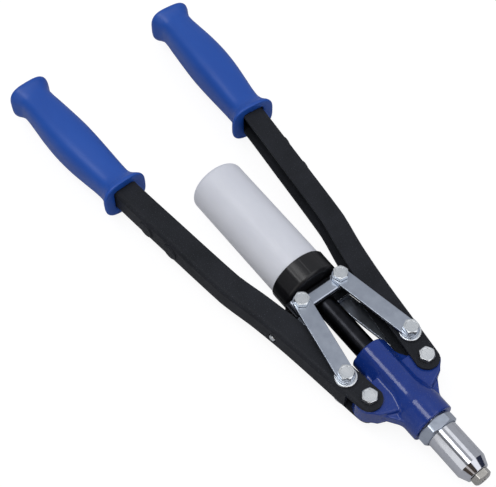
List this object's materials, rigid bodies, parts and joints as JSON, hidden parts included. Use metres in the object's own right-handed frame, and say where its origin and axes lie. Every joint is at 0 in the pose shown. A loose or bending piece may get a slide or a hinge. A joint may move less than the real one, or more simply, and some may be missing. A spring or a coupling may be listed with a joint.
{
  "type": "hand riveter",
  "caption": "Long-handled lever hand riveter with curved channel arms, moulded grips, a link-driven pull head, a chromed nose and a screw-on bottle that catches spent mandrels.",
  "frame": {"origin": "centre of the bounding box with the arms closed, on the mandrel axis", "axes": "+X along the mandrel axis towards the nosepiece, +Y towards the right arm, +Z along the pivot bolts towards their heads, which is the top when the tool lies flat"},
  "size_m": [0.4464, 0.1674, 0.046],
  "materials": {
    "body_paint": "blue enamel over a casting",
    "grip_plastic": "smooth moulded blue plastic",
    "arm_paint": "semi-gloss black enamel over pressed steel",
    "black_steel": "black oxide",
    "cap_plastic": "ribbed black moulding",
    "zinc_plate": "bright zinc plate",
    "chrome_plate": "polished chrome plate",
    "tool_steel": "hardened, ground",
    "bottle_plastic": "frosted white, slightly translucent"
  },
  "bodies": {
    "body": {"body_casting": "body_paint", "nose_lock_nut": "zinc_plate", "nose_barrel": "chrome_plate", "nosepiece": "chrome_plate", "left_arm_pivot_bolt": "zinc_plate", "left_arm_pivot_nut": "zinc_plate", "right_arm_pivot_bolt": "zinc_plate", "right_arm_pivot_nut": "zinc_plate"},
    "left_arm": {"left_arm_channel": "arm_paint", "left_grip": "grip_plastic", "left_link_pivot_bolt": "zinc_plate", "left_link_pivot_nut": "zinc_plate", "left_upper_washer": "zinc_plate", "left_lower_washer": "zinc_plate", "left_stop_screw": "zinc_plate", "left_stop_nut": "zinc_plate", "left_spare_nosepiece_1": "chrome_plate", "left_spare_nosepiece_2": "chrome_plate"},
    "left_link": {"left_upper_link": "zinc_plate", "left_lower_link": "zinc_plate", "left_crosshead_bolt": "zinc_plate", "left_crosshead_nut": "zinc_plate"},
    "right_arm": {"right_arm_channel": "arm_paint", "right_grip": "grip_plastic", "right_link_pivot_bolt": "zinc_plate", "right_link_pivot_nut": "zinc_plate", "right_upper_washer": "zinc_plate", "right_lower_washer": "zinc_plate", "right_stop_screw": "zinc_plate", "right_stop_nut": "zinc_plate", "right_spare_nosepiece_1": "chrome_plate", "right_spare_nosepiece_2": "chrome_plate"},
    "right_link": {"right_upper_link": "zinc_plate", "right_lower_link": "zinc_plate", "right_crosshead_bolt": "zinc_plate", "right_crosshead_nut": "zinc_plate"},
    "pull_head": {"crosshead_upper_bar": "zinc_plate", "crosshead_lower_bar": "zinc_plate", "pull_block": "black_steel", "pull_tube": "black_steel", "bottle_cap": "cap_plastic", "cap_retaining_nut": "black_steel", "jaw_case": "black_steel", "jaw_lock_nut": "black_steel", "jaw_spring": "zinc_plate"},
    "bottle": {"bottle": "bottle_plastic"},
    "jaw_pusher": {"jaw_pusher": "tool_steel"},
    "jaw_1": {"jaw_1": "tool_steel"},
    "jaw_2": {"jaw_2": "tool_steel"},
    "jaw_3": {"jaw_3": "tool_steel"}
  },
  "joints": [
    {"name": "left_arm_pivot", "type": "hinge", "parent": "body", "child": "left_arm", "pos_m": [0.13941, -0.0249, 0], "axis": [0, 0, 1], "range_deg": [0, 45]},
    {"name": "right_arm_pivot", "type": "hinge", "parent": "body", "child": "right_arm", "pos_m": [0.13941, 0.0249, 0], "axis": [0, 0, -1], "range_deg": [0, 45]},
    {"name": "left_link_pivot", "type": "hinge", "parent": "left_arm", "child": "left_link", "pos_m": [0.11911, -0.028, 0], "axis": [0, 0, -1], "range_deg": [0, 60]},
    {"name": "right_link_pivot", "type": "hinge", "parent": "right_arm", "child": "right_link", "pos_m": [0.11911, 0.028, 0], "axis": [0, 0, 1], "range_deg": [0, 60]},
    {"name": "pull_slide", "type": "slide", "parent": "body", "child": "pull_head", "axis": [1, 0, 0], "range_m": [0, 0.0125]},
    {"name": "bottle_removal", "type": "slide", "parent": "pull_head", "child": "bottle", "axis": [-1, 0, 0], "range_m": [0, 0.02]},
    {"name": "jaw_pusher_slide", "type": "slide", "parent": "pull_head", "child": "jaw_pusher", "axis": [-1, 0, 0], "range_m": [0, 0.0025], "deforming": ["jaw_spring"]},
    {"name": "jaw_1_slide", "type": "slide", "parent": "pull_head", "child": "jaw_1", "axis": [-0.9792, 0, -0.2031], "range_m": [0, 0.0026]},
    {"name": "jaw_2_slide", "type": "slide", "parent": "pull_head", "child": "jaw_2", "axis": [-0.9792, 0.1759, 0.1015], "range_m": [0, 0.0026]},
    {"name": "jaw_3_slide", "type": "slide", "parent": "pull_head", "child": "jaw_3", "axis": [-0.9792, -0.1759, 0.1015], "range_m": [0, 0.0026]}
  ],
  "couplings": [
    {"joint": "right_arm_pivot", "follows": "left_arm_pivot", "ratio": 1},
    {"joint": "left_link_pivot", "follows": "left_arm_pivot", "ratio": 1.3005},
    {"joint": "right_link_pivot", "follows": "left_arm_pivot", "ratio": 1.3005},
    {"joint": "pull_slide", "follows": "left_arm_pivot", "m_per_rad": 0.014181},
    {"joint": "jaw_1_slide", "follows": "jaw_pusher_slide", "ratio": 1.0213},
    {"joint": "jaw_2_slide", "follows": "jaw_pusher_slide", "ratio": 1.0213},
    {"joint": "jaw_3_slide", "follows": "jaw_pusher_slide", "ratio": 1.0213}
  ]
}
